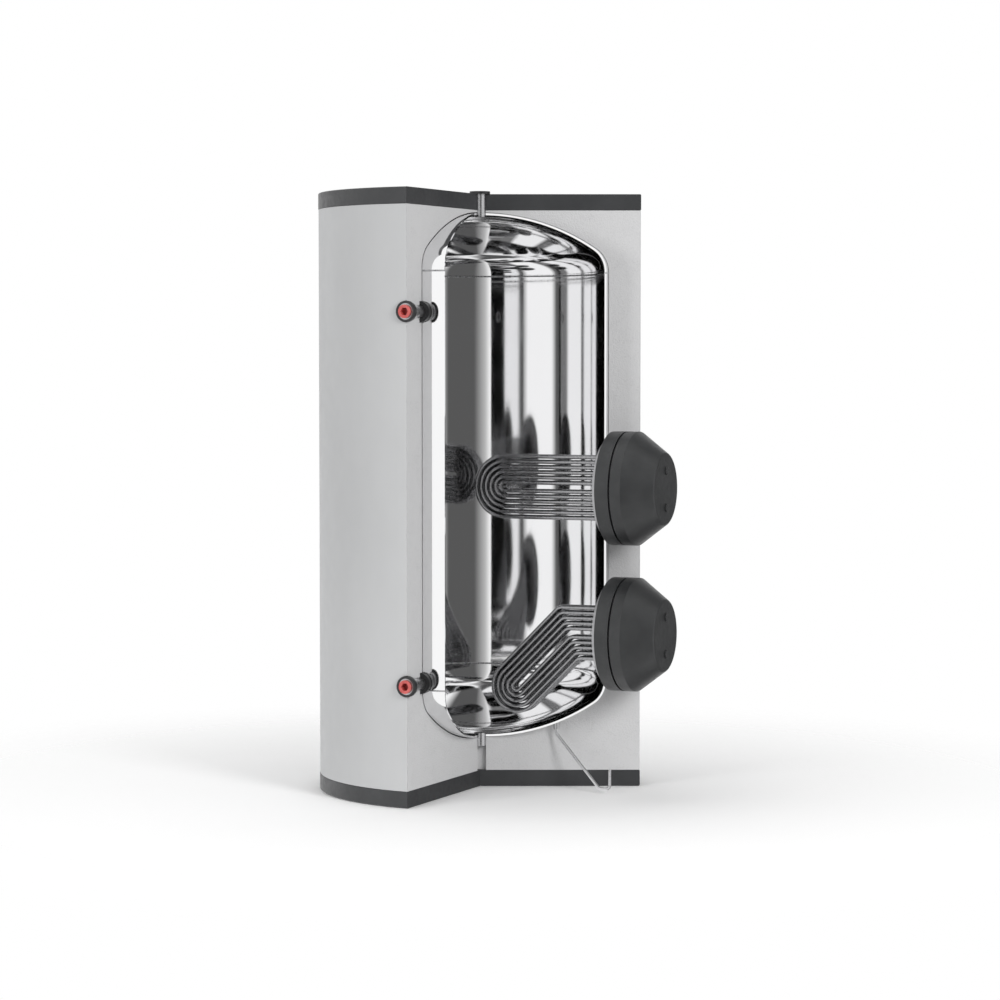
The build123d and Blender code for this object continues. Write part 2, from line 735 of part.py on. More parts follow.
turn_direction = (cos(radians(flange_azimuth)), sin(radians(flange_azimuth)))
drain_points = [
    (drain_start[0], drain_start[1], drain_start_height - drain_tube_gap),
    (drain_start[0], drain_start[1], drain_start_height - drain_boss_length - drain_bend_radius),
    (turn_direction[0] * drain_foot_distance, turn_direction[1] * drain_foot_distance,
     drain_foot_height),
    (turn_direction[0] * drain_riser_distance, turn_direction[1] * drain_riser_distance,
     drain_foot_height),
    (turn_direction[0] * drain_riser_distance, turn_direction[1] * drain_riser_distance,
     drain_riser_height),
]
with BuildPart() as drain:
    with BuildLine() as drain_route:
        FilletPolyline(*drain_points, radius=drain_bend_radius)
    with BuildSketch(Plane(origin=drain_route.line @ 0, z_dir=drain_route.line % 0)):
        Circle(drain_radius)
        Circle(drain_bore_radius, mode=Mode.SUBTRACT)
    sweep(path=drain_route.wires()[0])
drain.part.label = "drain_tube"
export_step(drain.part, "parts/drain_tube.step")

drain_section = pi * (drain_radius ** 2 - drain_bore_radius ** 2)
print("drain tube volume / (section x length):",
      round(drain.part.volume / (drain_section * drain_route.wires()[0].length), 4))
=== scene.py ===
import math

import bmesh
import bpy
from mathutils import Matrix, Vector


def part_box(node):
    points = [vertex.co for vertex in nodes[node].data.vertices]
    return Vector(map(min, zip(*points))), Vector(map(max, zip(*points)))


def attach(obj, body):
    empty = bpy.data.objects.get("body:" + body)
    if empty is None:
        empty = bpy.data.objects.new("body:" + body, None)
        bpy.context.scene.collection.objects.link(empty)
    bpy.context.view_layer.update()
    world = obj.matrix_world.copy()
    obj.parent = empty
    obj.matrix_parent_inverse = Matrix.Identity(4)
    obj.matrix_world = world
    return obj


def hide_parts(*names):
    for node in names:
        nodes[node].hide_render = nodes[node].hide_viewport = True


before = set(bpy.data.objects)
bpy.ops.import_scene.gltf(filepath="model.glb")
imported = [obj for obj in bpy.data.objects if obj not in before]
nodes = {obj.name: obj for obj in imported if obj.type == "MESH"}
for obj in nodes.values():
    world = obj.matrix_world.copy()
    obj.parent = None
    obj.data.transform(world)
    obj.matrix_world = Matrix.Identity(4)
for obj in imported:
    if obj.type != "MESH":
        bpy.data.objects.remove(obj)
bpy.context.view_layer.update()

# ------------------------------------------------------------------ camera
# One long lens, a little above the middle of the cylinder and square to the
# right-hand cut face, so that the open wedge is seen from the front.

camera_distance = 9.016
camera_height = 1.363
camera_tilt = 3.010
camera_turn = 0.393
camera_lens = 105.2

camera = bpy.data.objects.new("camera", bpy.data.cameras.new("camera"))
camera.data.lens = camera_lens
camera.data.sensor_width = 36
camera.location = (0, -camera_distance, camera_height)
camera.rotation_euler = (math.radians(90 - camera_tilt), 0, math.radians(-camera_turn))
bpy.context.scene.collection.objects.link(camera)
bpy.context.scene.camera = camera
bpy.context.scene.view_settings.view_transform = "Standard"

# ------------------------------------------------------------------ studio
# A white room: a pale round floor that fades out, three softboxes, and bright and
# dark walls all round, which are what the polished tank reflects.

floor_radius = 2.3
floor_drop = 0.001              # keeps the floor clear of the base's underside
fade_start, fade_end = 0.25, 0.98   # where the floor fades, in parts of its radius
room_strength = 0.50            # even light from all round, for matt surfaces
backdrop_strength = 1.0
wall_tones = [                  # (azimuth from +X, brightness) of the walls all round
    (-180, 1.0), (-100, 1.0), (-95, 0.5), (-85, 0.1), (-60, 0.1), (-50, 1.0),
    (0, 1.0), (10, 0.2), (60, 0.2), (70, 1.0), (180, 1.0),
]

world = bpy.data.worlds.new("studio")
world.use_nodes = True
bpy.context.scene.world = world
tree = world.node_tree
tree.nodes.clear()
direction = tree.nodes.new("ShaderNodeTexCoord")
parts = tree.nodes.new("ShaderNodeSeparateXYZ")
angle = tree.nodes.new("ShaderNodeMath")
angle.operation = "ARCTAN2"
turn = tree.nodes.new("ShaderNodeMapRange")
turn.inputs["From Min"].default_value = -math.pi
turn.inputs["From Max"].default_value = math.pi
walls = tree.nodes.new("ShaderNodeValToRGB")
walls.color_ramp.interpolation = "LINEAR"
stops = walls.color_ramp.elements
while len(stops) < len(wall_tones):
    stops.new(0.5)
for stop, (azimuth, tone) in zip(stops, wall_tones):
    stop.position = (azimuth + 180) / 360
    stop.color = (tone, tone, tone, 1)
seen = tree.nodes.new("ShaderNodeLightPath")
walls_light = tree.nodes.new("ShaderNodeBackground")
plain_light = tree.nodes.new("ShaderNodeBackground")
plain_light.inputs["Color"].default_value = (1, 1, 1, 1)
plain_light.inputs["Strength"].default_value = room_strength
white_back = tree.nodes.new("ShaderNodeBackground")
white_back.inputs["Color"].default_value = (1, 1, 1, 1)
white_back.inputs["Strength"].default_value = backdrop_strength
glossy_or_not = tree.nodes.new("ShaderNodeMixShader")
camera_or_not = tree.nodes.new("ShaderNodeMixShader")
world_out = tree.nodes.new("ShaderNodeOutputWorld")
tree.links.new(direction.outputs["Generated"], parts.inputs[0])
tree.links.new(parts.outputs["Y"], angle.inputs[0])
tree.links.new(parts.outputs["X"], angle.inputs[1])
tree.links.new(angle.outputs[0], turn.inputs["Value"])
tree.links.new(turn.outputs["Result"], walls.inputs["Fac"])
tree.links.new(walls.outputs["Color"], walls_light.inputs["Color"])
tree.links.new(seen.outputs["Is Glossy Ray"], glossy_or_not.inputs["Fac"])
tree.links.new(plain_light.outputs[0], glossy_or_not.inputs[1])
tree.links.new(walls_light.outputs[0], glossy_or_not.inputs[2])
tree.links.new(seen.outputs["Is Camera Ray"], camera_or_not.inputs["Fac"])
tree.links.new(glossy_or_not.outputs[0], camera_or_not.inputs[1])
tree.links.new(white_back.outputs[0], camera_or_not.inputs[2])
tree.links.new(camera_or_not.outputs[0], world_out.inputs["Surface"])


def softbox(name, place, aim, size, power):
    """An area light that looks from its place at a point on the tank's axis."""
    light = bpy.data.lights.new(name, "AREA")
    light.shape = "RECTANGLE"
    light.size, light.size_y = size
    light.energy = power
    lamp = bpy.data.objects.new(name, light)
    lamp.location = place
    lamp.rotation_euler = (Vector(aim) - Vector(place)).to_track_quat("-Z", "Y").to_euler()
    lamp.visible_camera = False
    lamp.visible_glossy = False
    bpy.context.scene.collection.objects.link(lamp)


softbox("key_softbox", (3.4, -5.2, 3.0), (0, 0, 1.0), (1.6, 2.4), 210)
softbox("fill_softbox", (-4.8, -4.4, 1.8), (0, 0, 0.9), (2.4, 3.0), 150)
softbox("top_softbox", (-0.6, 0.6, 4.6), (0, 0, 1.8), (2.5, 2.5), 60)

floor_mesh = bpy.data.meshes.new("studio_floor")
shape = bmesh.new()
bmesh.ops.create_circle(shape, cap_ends=True, segments=96, radius=floor_radius)
shape.to_mesh(floor_mesh)
shape.free()
floor = bpy.data.objects.new("studio_floor", floor_mesh)
floor.location = (0, 0, -floor_drop)
bpy.context.scene.collection.objects.link(floor)
pale = bpy.data.materials.new("pale_floor")
pale.use_nodes = True
tree = pale.node_tree
tree.nodes.clear()
place = tree.nodes.new("ShaderNodeTexCoord")
length = tree.nodes.new("ShaderNodeVectorMath")
length.operation = "LENGTH"
fade = tree.nodes.new("ShaderNodeMapRange")
fade.interpolation_type = "SMOOTHSTEP"
fade.inputs["From Min"].default_value = fade_start * floor_radius
fade.inputs["From Max"].default_value = fade_end * floor_radius
matte_white = tree.nodes.new("ShaderNodeBsdfDiffuse")
matte_white.inputs["Color"].default_value = (0.97, 0.97, 0.97, 1)
clear = tree.nodes.new("ShaderNodeBsdfTransparent")
blend = tree.nodes.new("ShaderNodeMixShader")
out = tree.nodes.new("ShaderNodeOutputMaterial")
tree.links.new(place.outputs["Object"], length.inputs[0])
tree.links.new(length.outputs["Value"], fade.inputs["Value"])
tree.links.new(fade.outputs["Result"], blend.inputs["Fac"])
tree.links.new(matte_white.outputs[0], blend.inputs[1])
tree.links.new(clear.outputs[0], blend.inputs[2])
tree.links.new(blend.outputs[0], out.inputs["Surface"])
floor.data.materials.append(pale)
floor.visible_glossy = False

# ------------------------------------------------------------------ base plinth and lid
# Two moulded slabs of dark grey structural foam, one under the jacket and one on top.
# Each is one piece with a finely grained skin and a rounded rim, cut to the jacket's sector.

round_steps = 1.5               # degrees between two stations of a turned piece
crease_angle = math.radians(32) # faces that meet more sharply keep a hard edge
merge_distance = 1e-6
slab_grey = (0.043, 0.044, 0.046, 1)


def finish(name, colour, roughness, metal=0.0):
    """A new surface finish and its shader, which the section then gives its grain."""
    made = bpy.data.materials.new(name)
    made.use_nodes = True
    shader = made.node_tree.nodes["Principled BSDF"]
    shader.inputs["Base Color"].default_value = colour
    shader.inputs["Roughness"].default_value = roughness
    shader.inputs["Metallic"].default_value = metal
    return made, made.node_tree, shader


def grain(tree, scale, detail=3.0, stretch=(1, 1, 1), kind="ShaderNodeTexNoise"):
    """A noise that stands still in the object; its first output is the height."""
    place = tree.nodes.new("ShaderNodeTexCoord")
    frame_of = tree.nodes.new("ShaderNodeMapping")
    frame_of.inputs["Scale"].default_value = stretch
    texture = tree.nodes.new(kind)
    texture.inputs["Scale"].default_value = scale
    if "Detail" in texture.inputs:
        texture.inputs["Detail"].default_value = detail
    tree.links.new(place.outputs["Object"], frame_of.inputs["Vector"])
    tree.links.new(frame_of.outputs["Vector"], texture.inputs["Vector"])
    return texture


def tint(tree, shader, texture, dark, light, low=0.3, high=0.7):
    """Colour that wanders between two tones with a texture."""
    ramp = tree.nodes.new("ShaderNodeValToRGB")
    ramp.color_ramp.elements[0].position = low
    ramp.color_ramp.elements[0].color = dark
    ramp.color_ramp.elements[1].position = high
    ramp.color_ramp.elements[1].color = light
    tree.links.new(texture.outputs[0], ramp.inputs["Fac"])
    tree.links.new(ramp.outputs["Color"], shader.inputs["Base Color"])


def polish(tree, shader, texture, low, high):
    """Roughness that wanders between two values with a texture."""
    spread = tree.nodes.new("ShaderNodeMapRange")
    spread.inputs["From Min"].default_value = 0.3
    spread.inputs["From Max"].default_value = 0.7
    spread.inputs["To Min"].default_value = low
    spread.inputs["To Max"].default_value = high
    tree.links.new(texture.outputs[0], spread.inputs["Value"])
    tree.links.new(spread.outputs["Result"], shader.inputs["Roughness"])


def relief(tree, shader, texture, distance, strength=1.0):
    """Bump from a texture, on top of any bump the shader already has."""
    bump = tree.nodes.new("ShaderNodeBump")
    bump.inputs["Strength"].default_value = strength
    bump.inputs["Distance"].default_value = distance
    tree.links.new(texture.outputs[0], bump.inputs["Height"])
    before = shader.inputs["Normal"].links
    if before:
        tree.links.new(before[0].from_socket, bump.inputs["Normal"])
    tree.links.new(bump.outputs["Normal"], shader.inputs["Normal"])


def dress(material, *names):
    """Gives CAD nodes their finish."""
    for name in names:
        nodes[name].data.materials.clear()
        nodes[name].data.materials.append(material)


def turned(name, outline, start, arc, material, body, node):
    """Turns a closed (radius, height) outline about the tank's axis through a sector.
    The outline may run either way, because the normals are worked out at the end."""
    steps = max(2, round(arc / round_steps))
    shape = bmesh.new()
    stations = []
    for step in range(steps + 1):
        a = math.radians(start + arc * step / steps)
        ring = [shape.verts.new((r * math.cos(a), r * math.sin(a), z)) for r, z in outline]
        stations.append(ring)
    count = len(outline)
    for here, there in zip(stations, stations[1:]):
        for i in range(count):
            j = (i + 1) % count
            shape.faces.new((here[i], here[j], there[j], there[i]))
    shape.faces.new(list(reversed(stations[0])))
    shape.faces.new(stations[-1])
    bmesh.ops.remove_doubles(shape, verts=shape.verts, dist=merge_distance)
    bmesh.ops.dissolve_degenerate(shape, edges=shape.edges, dist=merge_distance)
    bmesh.ops.recalc_face_normals(shape, faces=shape.faces)
    return settle(name, shape, material, body, node)


def settle(name, shape, material, body, *replaced):
    """Makes a piece of a finished bmesh and puts it in the frame."""
    mesh = bpy.data.meshes.new(name)
    shape.to_mesh(mesh)
    shape.free()
    piece = bpy.data.objects.new(name, mesh)
    bpy.context.scene.collection.objects.link(piece)
    return place_piece(piece, material, body, *replaced)


def place_piece(piece, material, body, *replaced):
    """Finish, shading and frame of a piece whose mesh is final."""
    piece.data.materials.clear()
    piece.data.materials.append(material)
    piece.data.polygons.foreach_set("use_smooth", [True] * len(piece.data.polygons))
    piece.data.set_sharp_from_angle(angle=crease_angle)
    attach(piece, body)
    if replaced:
        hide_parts(*replaced)
    return piece


def rows_between(low, high, count):
    """Heights from low to high, so that long faces are cut into short ones."""
    return [low + (high - low) * i / count for i in range(count + 1)]


slab_plastic, tree, shader = finish("slab_plastic", slab_grey, 0.42)
cloudy = grain(tree, 9.0, 4.0)
tint(tree, shader, cloudy, (0.030, 0.031, 0.033, 1), (0.042, 0.043, 0.045, 1))
polish(tree, shader, grain(tree, 60.0, 2.0), 0.36, 0.50)
relief(tree, shader, grain(tree, 900.0, 2.0), 0.00025, 0.5)
relief(tree, shader, grain(tree, 14.0, 2.0), 0.0012, 0.25)

dress(slab_plastic, "base_plinth", "top_lid")

# ------------------------------------------------------------------ tank feet
# Three short lengths of steel tube, welded under the lower head and hidden in the
# foam, carry the tank's weight to the base.

foot_steel, tree, shader = finish("foot_steel", (0.33, 0.33, 0.34, 1), 0.5, 1.0)
polish(tree, shader, grain(tree, 80.0, 3.0), 0.40, 0.60)
relief(tree, shader, grain(tree, 400.0, 3.0), 0.0002, 0.5)
dress(foot_steel, "tank_feet")

# ------------------------------------------------------------------ tank
# A shell rolled from 6 mm stainless sheet between two pressed heads, polished to a
# mirror inside and out.  The cut edges have the same finish.

tank_start, tank_arc = -12.0, 266.7
head_low, head_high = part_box("tank_top_head")
floor_low, floor_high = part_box("tank_bottom_head")
shell_low, shell_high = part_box("tank_shell")
tank_radius = shell_high.y
tank_wall = 0.006
crown_radius, knuckle_radius = 0.630, 0.080
shell_row_count = 40

mirror_steel, tree, shader = finish("mirror_steel", (0.93, 0.93, 0.935, 1), 0.05, 1.0)
polish(tree, shader, grain(tree, 2.2, 3.0, (1, 1, 2.5)), 0.035, 0.075)
relief(tree, shader, grain(tree, 5.0, 2.0, (1, 1, 0.35)), 0.0010, 0.10)
relief(tree, shader, grain(tree, 260.0, 2.0, (1, 1, 0.02)), 0.00002, 0.12)

crown_turn = math.asin((tank_radius - tank_wall - knuckle_radius) / (crown_radius - knuckle_radius))
crown_drop = (crown_radius - knuckle_radius) * math.cos(crown_turn)
crown_steps, knuckle_steps = 26, 22


def head_line(offset, apex, way):
    """Points of a head's curve from the axis out to the edge; way is +1 for the upper head."""
    centre = apex - way * (crown_radius + tank_wall)
    line = []
    for i in range(crown_steps + 1):
        a = crown_turn * i / crown_steps
        line.append(((crown_radius + offset) * math.sin(a),
                     centre + way * (crown_radius + offset) * math.cos(a)))
    ring = tank_radius - tank_wall - knuckle_radius
    for i in range(1, knuckle_steps + 1):
        a = crown_turn + (math.pi / 2 - crown_turn) * i / knuckle_steps
        line.append((ring + (knuckle_radius + offset) * math.sin(a),
                     centre + way * crown_drop + way * (knuckle_radius + offset) * math.cos(a)))
    return line


for head_name, apex, edge, way in (("tank_top_head", head_high.z, head_low.z, 1),
                                   ("tank_bottom_head", floor_low.z, floor_high.z, -1)):
    outer = head_line(tank_wall, apex, way) + [(tank_radius, edge)]
    inner = head_line(0.0, apex, way) + [(tank_radius - tank_wall, edge)]
    outline = outer + list(reversed(inner))
    head = turned(head_name + "_pressing", outline, tank_start, tank_arc, mirror_steel,
                  "tank_and_jacket", head_name)

shell_rows = rows_between(shell_low.z, shell_high.z, shell_row_count)
outline = [(tank_radius, z) for z in shell_rows]
outline += [(tank_radius - tank_wall, z) for z in reversed(shell_rows)]
shell = turned("tank_shell_sheet", outline, tank_start, tank_arc, mirror_steel,
               "tank_and_jacket", "tank_shell")

# ------------------------------------------------------------------ weld seams
# Each head is joined to the shell by machine-laid beads, one outside and one inside,
# with their ripples left on.  A bead is a row of overlapping scales round the tank.

ripple_pitch = 0.0032
bead_width = 0.0052
bead_height = 0.0011


def node_group(name, sockets):
    """A geometry tree with a geometry input, the named number inputs and one output."""
    group = bpy.data.node_groups.new(name, "GeometryNodeTree")
    group.interface.new_socket("Geometry", in_out="INPUT", socket_type="NodeSocketGeometry")
    for label, kind in sockets:
        group.interface.new_socket(label, in_out="INPUT", socket_type=kind)
    group.interface.new_socket("Geometry", in_out="OUTPUT", socket_type="NodeSocketGeometry")
    return group, group.nodes.new("NodeGroupInput"), group.nodes.new("NodeGroupOutput")


def grown(piece, group, values):
    """Runs a geometry tree on a piece with these inputs and returns the result as a mesh."""
    modifier = piece.modifiers.new(group.name, "NODES")
    modifier.node_group = group
    for item in group.interface.items_tree:
        if item.item_type == "SOCKET" and item.in_out == "INPUT" and item.name in values:
            modifier[item.identifier] = values[item.name]
    bpy.context.view_layer.update()
    evaluated = piece.evaluated_get(bpy.context.evaluated_depsgraph_get())
    mesh = bpy.data.meshes.new_from_object(evaluated)
    result = bpy.data.objects.new(piece.name + "_made", mesh)
    bpy.context.scene.collection.objects.link(result)
    name = piece.name
    piece.modifiers.clear()
    bpy.data.objects.remove(piece)
    result.name = name
    return result


def wire(name, lines):
    """A curve object with one open poly line for each list of points."""
    curve = bpy.data.curves.new(name, "CURVE")
    curve.dimensions = "3D"
    for points in lines:
        line = curve.splines.new("POLY")
        line.points.add(len(points) - 1)
        for spot, point in zip(line.points, points):
            spot.co = (*point, 1)
    piece = bpy.data.objects.new(name, curve)
    bpy.context.scene.collection.objects.link(piece)
    return piece


bead_steel, tree, shader = finish("bead_steel", (0.60, 0.60, 0.61, 1), 0.28, 1.0)
polish(tree, shader, grain(tree, 120.0, 3.0), 0.20, 0.38)
relief(tree, shader, grain(tree, 900.0, 2.0), 0.0001, 0.4)

bead_tree, start, end = node_group("weld_bead", [
    ("Pitch", "NodeSocketFloat"), ("Width", "NodeSocketFloat"),
    ("Height", "NodeSocketFloat"), ("Finish", "NodeSocketMaterial")])
spots = bead_tree.nodes.new("GeometryNodeCurveToPoints")
spots.mode = "LENGTH"
scale_shape = bead_tree.nodes.new("GeometryNodeMeshUVSphere")
scale_shape.inputs["Segments"].default_value = 8
scale_shape.inputs["Rings"].default_value = 6
scale_shape.inputs["Radius"].default_value = 1.0
lay = bead_tree.nodes.new("GeometryNodeInstanceOnPoints")
size_of = bead_tree.nodes.new("ShaderNodeCombineXYZ")
half_width = bead_tree.nodes.new("ShaderNodeMath")
half_width.operation = "MULTIPLY"
half_width.inputs[1].default_value = 0.5
realize = bead_tree.nodes.new("GeometryNodeRealizeInstances")
paint = bead_tree.nodes.new("GeometryNodeSetMaterial")
bead_tree.links.new(start.outputs["Geometry"], spots.inputs["Curve"])
bead_tree.links.new(start.outputs["Pitch"], spots.inputs["Length"])
bead_tree.links.new(spots.outputs["Points"], lay.inputs["Points"])
bead_tree.links.new(spots.outputs["Rotation"], lay.inputs["Rotation"])
bead_tree.links.new(scale_shape.outputs["Mesh"], lay.inputs["Instance"])
bead_tree.links.new(start.outputs["Width"], half_width.inputs[0])
bead_tree.links.new(half_width.outputs[0], size_of.inputs["X"])
bead_tree.links.new(start.outputs["Height"], size_of.inputs["Y"])
bead_tree.links.new(start.outputs["Pitch"], size_of.inputs["Z"])
bead_tree.links.new(size_of.outputs[0], lay.inputs["Scale"])
bead_tree.links.new(lay.outputs["Instances"], realize.inputs["Geometry"])
bead_tree.links.new(realize.outputs["Geometry"], paint.inputs["Geometry"])
bead_tree.links.new(start.outputs["Finish"], paint.inputs["Material"])
bead_tree.links.new(paint.outputs["Geometry"], end.inputs["Geometry"])

for seam_name in ("upper_weld_seam", "lower_weld_seam"):
    low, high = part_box(seam_name)
    middle = (low.z + high.z) / 2
    ripples = max(2, round(math.radians(tank_arc) * tank_radius / ripple_pitch))
    beads = []
    for seam_radius in (tank_radius, tank_radius - tank_wall):
        points = []
        for i in range(ripples + 1):
            a = math.radians(tank_start + tank_arc * i / ripples)
            points.append((seam_radius * math.cos(a), seam_radius * math.sin(a), middle))
        beads.append(points)
    bead = wire(seam_name + "_bead", beads)
    bead = grown(bead, bead_tree, {"Pitch": ripple_pitch, "Width": bead_width,
                                   "Height": bead_height, "Finish": bead_steel})
    place_piece(bead, bead_steel, "tank_and_jacket")
dress(bead_steel, "upper_weld_seam", "lower_weld_seam")

# ------------------------------------------------------------------ foam and jacket
# Light grey rigid foam fills the space round the tank, with its cells open on the
# cut faces.  A thin pale grey skin with a fine leather grain is wrapped round it.

foam_grey, tree, shader = finish("foam_grey", (0.50, 0.50, 0.505, 1), 0.92)
cells = grain(tree, 210.0, 2.0, kind="ShaderNodeTexVoronoi")
patches = grain(tree, 22.0, 6.0)
mottle = tree.nodes.new("ShaderNodeMix")
mottle.data_type = "FLOAT"
mottle.inputs["Factor"].default_value = 0.55
tree.links.new(cells.outputs["Distance"], mottle.inputs[2])
tree.links.new(patches.outputs[0], mottle.inputs[3])
tint(tree, shader, mottle, (0.455, 0.455, 0.46, 1), (0.56, 0.56, 0.565, 1), 0.28, 0.62)
relief(tree, shader, cells, 0.0009, 0.55)
relief(tree, shader, grain(tree, 60.0, 5.0), 0.0012, 0.35)
shader.inputs["Specular IOR Level"].default_value = 0.2
dress(foam_grey, "insulation_foam", "insulation_foam_base", "insulation_foam_crown")

jacket_grey, tree, shader = finish("jacket_grey", (0.50, 0.505, 0.51, 1), 0.55)
tint(tree, shader, grain(tree, 3.0, 4.0, (1, 1, 0.5)), (0.475, 0.48, 0.485, 1),
     (0.525, 0.53, 0.535, 1))
polish(tree, shader, grain(tree, 25.0, 3.0), 0.48, 0.62)
relief(tree, shader, grain(tree, 700.0, 1.0, kind="ShaderNodeTexVoronoi"), 0.00018, 0.5)
relief(tree, shader, grain(tree, 5.0, 2.0, (1, 1, 0.4)), 0.0025, 0.22)
dress(jacket_grey, "jacket_skin")

# ------------------------------------------------------------------ water connections
# Turned steel sockets on short pipes, with a black plastic collar at the tank and a
# black rosette at the jacket.  Red transport plugs close the two side connections.

port_steel, tree, shader = finish("port_steel", (0.52, 0.52, 0.53, 1), 0.32, 1.0)
polish(tree, shader, grain(tree, 140.0, 3.0, (1, 1, 6)), 0.22, 0.42)
relief(tree, shader, grain(tree, 500.0, 2.0, (1, 1, 8)), 0.00008, 0.5)
dress(port_steel, "upper_port_pipe", "lower_port_pipe", "upper_port_socket",
      "lower_port_socket", "top_port_pipe", "bottom_port_pipe", "drain_boss",
      "upper_coil_connections", "lower_coil_connections")

black_trim, tree, shader = finish("black_trim", (0.018, 0.018, 0.019, 1), 0.38)
polish(tree, shader, grain(tree, 90.0, 2.0), 0.30, 0.46)
relief(tree, shader, grain(tree, 1200.0, 2.0), 0.00015, 0.5)
dress(black_trim, "upper_port_collar", "lower_port_collar", "upper_port_rosette",
      "lower_port_rosette", "top_port_rosette")

soft_black, tree, shader = finish("soft_black", (0.022, 0.022, 0.023, 1), 0.75)
polish(tree, shader, grain(tree, 200.0, 3.0), 0.65, 0.85)
relief(tree, shader, grain(tree, 1500.0, 2.0), 0.00012, 0.5)
dress(soft_black, "upper_plug_washer", "lower_plug_washer", "upper_gasket", "lower_gasket")

plug_red, tree, shader = finish("plug_red", (0.50, 0.09, 0.08, 1), 0.34)
tint(tree, shader, grain(tree, 70.0, 3.0), (0.44, 0.075, 0.068, 1), (0.58, 0.12, 0.11, 1))
polish(tree, shader, grain(tree, 180.0, 2.0), 0.28, 0.42)
relief(tree, shader, grain(tree, 900.0, 2.0), 0.0001, 0.4)
shader.inputs["Subsurface Weight"].default_value = 0.08
shader.inputs["Subsurface Radius"].default_value = (0.004, 0.001, 0.001)
dress(plug_red, "upper_port_plug", "lower_port_plug")

# ------------------------------------------------------------------ exchanger flanges
# Machined steel: a neck and ring welded to the tank, a closing plate bolted to it and
# a header box that feeds the tubes.  All of it is hidden inside the black covers.

flange_steel, tree, shader = finish("flange_steel", (0.42, 0.42, 0.43, 1), 0.36, 1.0)
polish(tree, shader, grain(tree, 60.0, 4.0), 0.28, 0.48)
relief(tree, shader, grain(tree, 350.0, 3.0, (1, 1, 5)), 0.0001, 0.5)
for side in ("upper", "lower"):
    dress(flange_steel, side + "_flange_neck", side + "_welded_flange",
          side + "_tube_plate", side + "_header_box")

bolt_zinc, tree, shader = finish("bolt_zinc", (0.60, 0.60, 0.58, 1), 0.30, 1.0)
polish(tree, shader, grain(tree, 250.0, 3.0), 0.22, 0.42)
relief(tree, shader, grain(tree, 1100.0, 2.0), 0.00006, 0.5)
dress(bolt_zinc, "upper_flange_bolts", "lower_flange_bolts")

# ------------------------------------------------------------------ exchanger tubes
# Three flat rows of steel tubes, bent into nested U shapes, with low fins rolled out
# of the tube wall.  The lower bundle is folded down towards the tank's bottom.

flange_turn = math.radians(-22.5)
tube_core, fin_radius, fin_pitch, fin_thickness = 0.0050, 0.0062, 0.0042, 0.0017
inner_bend, tube_pitch, row_pitch = 0.013, 0.016, 0.018
plate_distance, fold_distance, fold_radius = 0.447, 0.300, 0.026
fin_sides, bend_steps = 14, 20
upper_turns, lower_turns = 6, 5
upper_tip_distance = -0.011     # the upper bundle just crosses the tank's axis
middle_row = 2
tube_radius = 0.006
slant_length = 0.243            # from the lower bundle's fold to the middle of its bends
fold_angle = math.radians(45)

fin_steel, tree, shader = finish("fin_steel", (0.40, 0.40, 0.41, 1), 0.22, 1.0)
polish(tree, shader, grain(tree, 90.0, 3.0), 0.16, 0.28)
relief(tree, shader, grain(tree, 800.0, 2.0), 0.00002, 0.3)

fin_tree, start, end = node_group("finned_tube", [
    ("Core radius", "NodeSocketFloat"), ("Fin radius", "NodeSocketFloat"),
    ("Fin pitch", "NodeSocketFloat"), ("Fin thickness", "NodeSocketFloat"),
    ("Sides", "NodeSocketInt"), ("Finish", "NodeSocketMaterial")])
core_ring = fin_tree.nodes.new("GeometryNodeCurvePrimitiveCircle")
core = fin_tree.nodes.new("GeometryNodeCurveToMesh")
core.inputs["Fill Caps"].default_value = True
fin_spots = fin_tree.nodes.new("GeometryNodeCurveToPoints")
fin_spots.mode = "LENGTH"
fin = fin_tree.nodes.new("GeometryNodeMeshCylinder")
press_on = fin_tree.nodes.new("GeometryNodeInstanceOnPoints")
realize = fin_tree.nodes.new("GeometryNodeRealizeInstances")
both = fin_tree.nodes.new("GeometryNodeJoinGeometry")
paint = fin_tree.nodes.new("GeometryNodeSetMaterial")
fin_tree.links.new(start.outputs["Core radius"], core_ring.inputs["Radius"])
fin_tree.links.new(start.outputs["Sides"], core_ring.inputs["Resolution"])
fin_tree.links.new(start.outputs["Geometry"], core.inputs["Curve"])
fin_tree.links.new(core_ring.outputs["Curve"], core.inputs["Profile Curve"])
fin_tree.links.new(start.outputs["Geometry"], fin_spots.inputs["Curve"])
fin_tree.links.new(start.outputs["Fin pitch"], fin_spots.inputs["Length"])
fin_tree.links.new(start.outputs["Sides"], fin.inputs["Vertices"])
fin_tree.links.new(start.outputs["Fin radius"], fin.inputs["Radius"])
fin_tree.links.new(start.outputs["Fin thickness"], fin.inputs["Depth"])
fin_tree.links.new(fin_spots.outputs["Points"], press_on.inputs["Points"])
fin_tree.links.new(fin_spots.outputs["Rotation"], press_on.inputs["Rotation"])
fin_tree.links.new(fin.outputs["Mesh"], press_on.inputs["Instance"])
fin_tree.links.new(press_on.outputs["Instances"], realize.inputs["Geometry"])
fin_tree.links.new(core.outputs["Mesh"], both.inputs["Geometry"])
fin_tree.links.new(realize.outputs["Geometry"], both.inputs["Geometry"])
fin_tree.links.new(both.outputs["Geometry"], paint.inputs["Geometry"])
fin_tree.links.new(start.outputs["Finish"], paint.inputs["Material"])
fin_tree.links.new(paint.outputs["Geometry"], end.inputs["Geometry"])


